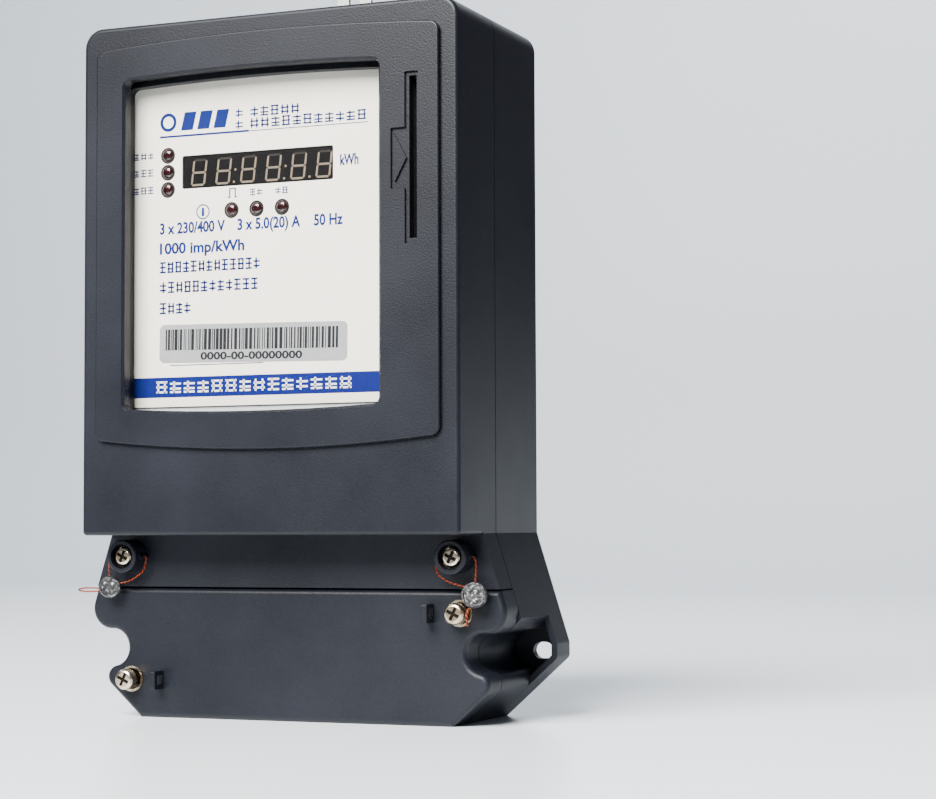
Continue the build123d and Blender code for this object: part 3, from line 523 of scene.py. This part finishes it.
def lamp_centres():
    """Where the lamps stand in X and Z, from the tips of their domes."""
    tip_depth, apart = 0.3 * MM, 3 * MM
    points = [vertex.co for vertex in nodes["led_lamps"].data.vertices]
    tip = min(point.y for point in points)
    groups = []
    for point in points:
        if point.y > tip + tip_depth:
            continue
        near = [g for g in groups if math.hypot(point.x - g[0].x, point.z - g[0].z) < apart]
        if near:
            near[0].append(point)
        else:
            groups.append([point])
    return [(sum(p.x for p in g) / len(g), sum(p.z for p in g) / len(g)) for g in groups]


def shade_lamp_holes(materials):
    """Painted shade on the nameplate round each lamp: a black ring in place of the shadow in the gap of the
    plate's hole.
    """
    low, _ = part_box("nameplate")
    outer, inner = 2.95, 2.35
    rings = []
    for x, z in lamp_centres():
        rings += ring(x / MM, z / MM, outer, inner)
    front, black = low[1] - PLATE_INK, materials["ink_black"]
    flat_piece("lamp_hole_shade", rings, front, PLATE_INK, black)


def print_label(materials):
    """Bars and a row of digits on the foil label, measured from its middle along its tilt."""
    low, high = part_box("barcode_label")
    origin = ((low[0] + high[0]) / 2 / MM, (low[2] + high[2]) / 2 / MM)
    front = low[1] - LABEL_INK
    turn = math.radians(-0.95)
    black, foil = materials["ink_black"], "foil_label"
    first, last, foot, top = -35.2, 33.4, -2.4, 5.2
    rng = random.Random(7)
    bars = []
    x = first
    while x < last:
        wide = rng.choice((0.35, 0.35, 0.6, 0.9, 1.2))
        bars.append(bar(x, x + wide, foot, top))
        x += wide + rng.choice((0.3, 0.35, 0.5, 0.7))
    flat_piece("label_bars", bars, front, LABEL_INK, black, origin, turn)
    digits = [("0000-00-00000000", -20.7, 20.2, -5.85, 2.7)]
    lettering("label_digits", digits, front, LABEL_INK, black, origin, turn)


def seven_segments(x, z, high, wide, thick, slant):
    """The seven bars of one digit, leaning to the right, the top bar first."""
    h, w, t = high / 2, wide / 2, thick / 2
    gap = 0.12

    def across(pz):
        ends = [(-w + t + gap, 0), (-w + 2 * t + gap, t), (w - 2 * t - gap, t)]
        ends += [(w - t - gap, 0), (w - 2 * t - gap, -t), (-w + 2 * t + gap, -t)]
        return [(px, pz + dz) for px, dz in ends]

    def up(px, z0, z1):
        ends = [(0, z0 + gap), (t, z0 + t + gap), (t, z1 - t - gap)]
        ends += [(0, z1 - gap), (-t, z1 - t - gap), (-t, z0 + t + gap)]
        return [(px + dx, pz) for dx, pz in ends]

    made = [across(pz) for pz in (h - t, 0, -h + t)]
    for px in (-w + t, w - t):
        made += [up(px, 0, h - t), up(px, -h + t, 0)]
    return [[(x + px + slant * pz, z + pz) for px, pz in outline] for outline in made]


def build_display(materials):
    """Unlit digits and points on the face of the display block, from its lower left corner, the top bars in
    a darker copy of the ink as painted shade.
    """
    low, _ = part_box("display_module")
    origin = (low[0] / MM, low[2] / MM)
    front = low[1] - SEGMENT_INK
    first, pitch, middle = 6.7, 10.05, 5.6
    high, wide, stroke, slant, dot = 9.7, 5.8, 0.72, 0.12, 0.45
    pale, dark = [], []
    for i in range(6):
        digit = seven_segments(first + pitch * i, middle, high, wide, stroke, slant)
        # the top bar takes the darker ink: painted shade along the top of the display
        dark.append(digit[0])
        pale += digit[1:]
    for x, z in ((21.5, 5.8), (20.9, 1.4), (41.7, 5.8), (41.1, 1.4), (51.2, 1.4)):
        pale.append(disc_outline(x, z, dot))
    for name, shapes, finish in (
        ("display_segments", pale, "segment_off"),
        ("display_segments_top_shaded", dark, "segment_shaded"),
    ):
        ink_finish = materials[finish]
        flat_piece(name, shapes, front, SEGMENT_INK, ink_finish, origin)


# ---------------------------------------------------------------- seals
def spline_points(points, count):
    """Evenly spread points on a smooth curve through a given route."""
    curve = bpy.data.curves.new("route", "CURVE")
    curve.dimensions = "3D"
    spline = curve.splines.new("NURBS")
    spline.points.add(len(points) - 1)
    for target, point in zip(spline.points, points):
        target.co = (*point, 1)
    spline.order_u = 3
    spline.use_endpoint_u = True
    spline.resolution_u = 16
    mesh = curve_mesh(curve)
    line = [v.co.copy() for v in mesh.vertices]
    bpy.data.meshes.remove(mesh)
    steps = [0.0]
    for a, b in zip(line, line[1:]):
        steps.append(steps[-1] + (b - a).length)
    made = []
    k = 0
    for i in range(count):
        goal = steps[-1] * i / (count - 1)
        while k < len(steps) - 2 and steps[k + 1] < goal:
            k += 1
        part = (goal - steps[k]) / max(steps[k + 1] - steps[k], 1e-9)
        made.append(line[k].lerp(line[k + 1], part))
    return made


def crossways(path):
    """Each point of a path with two directions square to it, carried along without a twist."""
    up = Vector((0.13, 0.29, 0.95))
    for i, at in enumerate(path):
        way = (path[min(i + 1, len(path) - 1)] - path[max(i - 1, 0)]).normalized()
        side = way.cross(up).normalized()
        up = side.cross(way).normalized()
        yield at, side, up


def tube(shape, path, radius):
    """A closed round tube along points, added to a bmesh."""
    sides = 8
    turns = [2 * math.pi * s / sides for s in range(sides)]
    rings = []
    for at, side, up in crossways(path):
        spokes = [math.cos(a) * side + math.sin(a) * up for a in turns]
        rings.append([shape.verts.new(at + radius * spoke) for spoke in spokes])
    for low, high in zip(rings, rings[1:]):
        for s in range(sides):
            face = shape.faces.new((low[s], low[(s + 1) % sides], high[(s + 1) % sides], high[s]))
            face.smooth = True
    shape.faces.new(rings[0][::-1])
    shape.faces.new(rings[-1])


def strand(line, offset, turn_length, phase):
    """One strand of a twisted pair along a centre line."""
    made = []
    run = 0.0
    before = line[0]
    for at, side, up in crossways(line):
        run += (at - before).length
        before = at
        angle = phase + 2 * math.pi * run / turn_length
        made.append(at + offset * (math.cos(angle) * side + math.sin(angle) * up))
    return made


def twisted(name, route, radius, materials, body, node=None):
    """A twisted pair along a route: one copper strand and one steel strand, the steel one dark brown as
    painted shade between the copper turns.
    """
    points_each, turn_length = 26, 1.7 * MM
    points = [Vector(p) * MM for p in route]
    line = spline_points(points, len(route) * points_each)
    for kind, finish, phase in (("copper", "seal_wire", 0), ("steel", "wire_steel_shaded", math.pi)):
        shape = bmesh.new()
        tube(shape, strand(line, radius / 2, turn_length, phase), radius / 2)
        bmesh.ops.recalc_face_normals(shape, faces=shape.faces)
        piece = add_object(f"{name}_{kind}", shape, materials[finish])
        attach(piece, body)
        if node and kind == "copper":
            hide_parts(node)


def pressed_disc(name, node, radius, thick, turn, seed, material, body):
    """A lead disc squeezed by a seal press: raised rim, cross hatching and a flowed edge."""
    low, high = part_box(node)
    centre = Vector([(a + b) / 2 for a, b in zip(low, high)])
    rng = random.Random(seed)
    rings, sides = 26, 72
    edge_share, edge_wave = 0.975, 0.008
    rim_high, rim_place, rim_wide = 0.16, 0.84, 0.07
    hatch_end, hatch_fade, hatch_deep, blob_deep = 0.68, 0.12, 0.055, 0.06
    half_thick, fall_start, fall_deep = 0.36, 0.9, 0.22
    shape = bmesh.new()
    wobble = [rng.uniform(-1, 1) for _ in range(6)]

    def edge(angle):
        wave = sum(w * math.cos((k + 2) * angle + k) for k, w in enumerate(wobble))
        return radius * (edge_share + edge_wave * wave)

    def height(r, angle):
        u = r / radius
        rim = rim_high * thick * math.exp(-(((u - rim_place) / rim_wide) ** 2))
        x, z = r * math.cos(angle), r * math.sin(angle)
        hatch = math.sin(x * 2400 + wobble[0]) * math.sin(z * 2100 + wobble[1])
        blob = math.sin(x * 1300 + z * 900 + wobble[2]) * math.cos(z * 1500 - x * 700 + wobble[3])
        inside = 1 - min(1, max(0, (u - hatch_end) / hatch_fade))
        pressed = hatch_deep * hatch + blob_deep * blob
        return thick * half_thick + rim + inside * thick * pressed

    def lay(front):
        rows = []
        for i in range(1, rings + 1):
            row = []
            for s in range(sides):
                angle = 2 * math.pi * s / sides
                r = edge(angle) * i / rings
                fall = max(0.0, (i / rings - fall_start) / (1 - fall_start))
                h = height(r, angle) - fall_deep * thick * fall**2
                row.append(shape.verts.new((r * math.cos(angle), front * h, r * math.sin(angle))))
            rows.append(row)
        middle = shape.verts.new((0, front * height(0, 0), 0))
        for s in range(sides):
            shape.faces.new((middle, rows[0][s], rows[0][(s + 1) % sides]))
        for a, b in zip(rows, rows[1:]):
            for s in range(sides):
                shape.faces.new((a[s], b[s], b[(s + 1) % sides], a[(s + 1) % sides]))
        return rows[-1]

    front, back = lay(-1), lay(1)
    for s in range(sides):
        shape.faces.new((front[s], back[s], back[(s + 1) % sides], front[(s + 1) % sides]))
    bmesh.ops.recalc_face_normals(shape, faces=shape.faces)
    for face in shape.faces:
        face.smooth = True
    piece = add_object(name, shape, material)
    lean = Euler([math.radians(a) for a in turn]).to_matrix().to_4x4()
    piece.data.transform(Matrix.Translation(centre) @ lean)
    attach(piece, body)
    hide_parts(node)


def build_seals(materials):
    """Twisted wires and pressed discs in place of the plain ones."""
    left_loop = [
        (-69.2, -18.6, 48.6), (-66.4, -18.8, 49.2), (-63.6, -18.9, 49.9), (-60.8, -18.7, 51.6),
        (-58.3, -18.5, 53.4), (-57.5, -17.9, 58.8), (-59.0, -17.9, 58.8), (-71.5, -17.9, 58.8),
        (-73.0, -17.9, 58.8), (-73.2, -18.8, 54.4), (-71.9, -19.5, 50.2),
    ]
    left_tail = [
        (-74.6, -20.9, 47.0), (-80.0, -20.8, 47.3), (-84.5, -20.6, 46.9),
        (-84.7, -20.5, 46.1), (-80.0, -20.6, 45.7), (-74.8, -20.8, 46.1),
    ]
    right_loop = [
        (70.2, -20.4, 48.6), (66.8, -20.2, 49.2), (63.6, -20.0, 50.2), (60.8, -19.5, 51.6),
        (58.3, -18.9, 53.4), (58.0, -17.9, 58.8), (59.5, -17.9, 58.8), (71.2, -17.9, 58.8),
        (72.6, -17.9, 58.8), (73.4, -18.8, 54.0), (73.2, -19.6, 49.4),
    ]
    right_tail = [
        (71.9, -20.4, 42.4), (71.1, -21.5, 40.2), (70.9, -21.9, 38.4), (71.5, -22.3, 35.4),
    ]
    fine, hairpin, stout = 0.33 * MM, 0.34 * MM, 0.54 * MM
    left, right, finish = "seal_left", "seal_right", materials["lead"]
    twisted("wire_left", left_loop, fine, materials, left, "seal_wire_left")
    twisted("wire_tail_left", left_tail, hairpin, materials, left)
    twisted("wire_right", right_loop, fine, materials, right, "seal_wire_right")
    twisted("wire_tail_right", right_tail, stout, materials, right)
    small, large = (4.2 * MM, 3.2 * MM), (4.7 * MM, 3.6 * MM)
    pressed_disc("pressed_seal_left", "lead_seal_left", *small, (6, 0, 25), 3, finish, left)
    pressed_disc("pressed_seal_right", "lead_seal_right", *large, (-8, 0, 15), 5, finish, right)


# ---------------------------------------------------------------- screws
def shade_recesses(materials):
    """Painted shade: a dark cross sunk at the bottom of each screw's cross recess, in place of the shadow
    there.
    """
    cover_radius, lid_radius = 3.5, 3.75
    low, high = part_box("cover_screws")
    level = (low[2] + high[2]) / 2
    inset = cover_radius * MM
    heads = [
        ("recess_shade_left", low[0] + inset, level, low[1], cover_radius, "case"),
        ("recess_shade_right", high[0] - inset, level, low[1], cover_radius, "case"),
    ]
    for side in ("left", "right"):
        low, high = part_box(f"lid_screw_{side}")
        x, z = (low[0] + high[0]) / 2, (low[2] + high[2]) / 2
        heads.append((f"lid_recess_shade_{side}", x, z, low[1], lid_radius, f"lid_screw_{side}"))
    half_slot, slot_share, sunk, thick = 0.54, 0.63, 0.55 * MM, 0.9 * MM
    turn = math.radians(-25)
    for name, x, z, top, radius, body in heads:
        cross = cross_outline(radius * slot_share, half_slot)
        origin = (x / MM, z / MM)
        # the near black finish is painted shade in the recess, not dirt
        recess_shade = materials["recess_shade"]
        flat_piece(name, [cross], top + sunk, thick, recess_shade, origin, turn, body)


def cross_outline(arm, half):
    """A cross round the origin: the three corners of one arm, turned by quarters."""
    corners = [(arm, -half), (arm, half), (half, half)]
    outline = []
    for _ in range(4):
        outline += corners
        corners = [(-z, x) for x, z in corners]
    return outline


# ---------------------------------------------------------------- build
def dress_cad(materials):
    """Give every CAD piece its slot's finish."""
    slots = {s["node"]: s["material_slot"] for s in frame["record"]["subparts"]}
    for name, node in nodes.items():
        node.data.materials.clear()
        node.data.materials.append(materials[slots[name]])


add_camera()
add_stage()
materials = make_materials()
dress_cad(materials)
print_nameplate(materials)
shade_lamp_holes(materials)
print_label(materials)
build_display(materials)
build_seals(materials)
shade_recesses(materials)
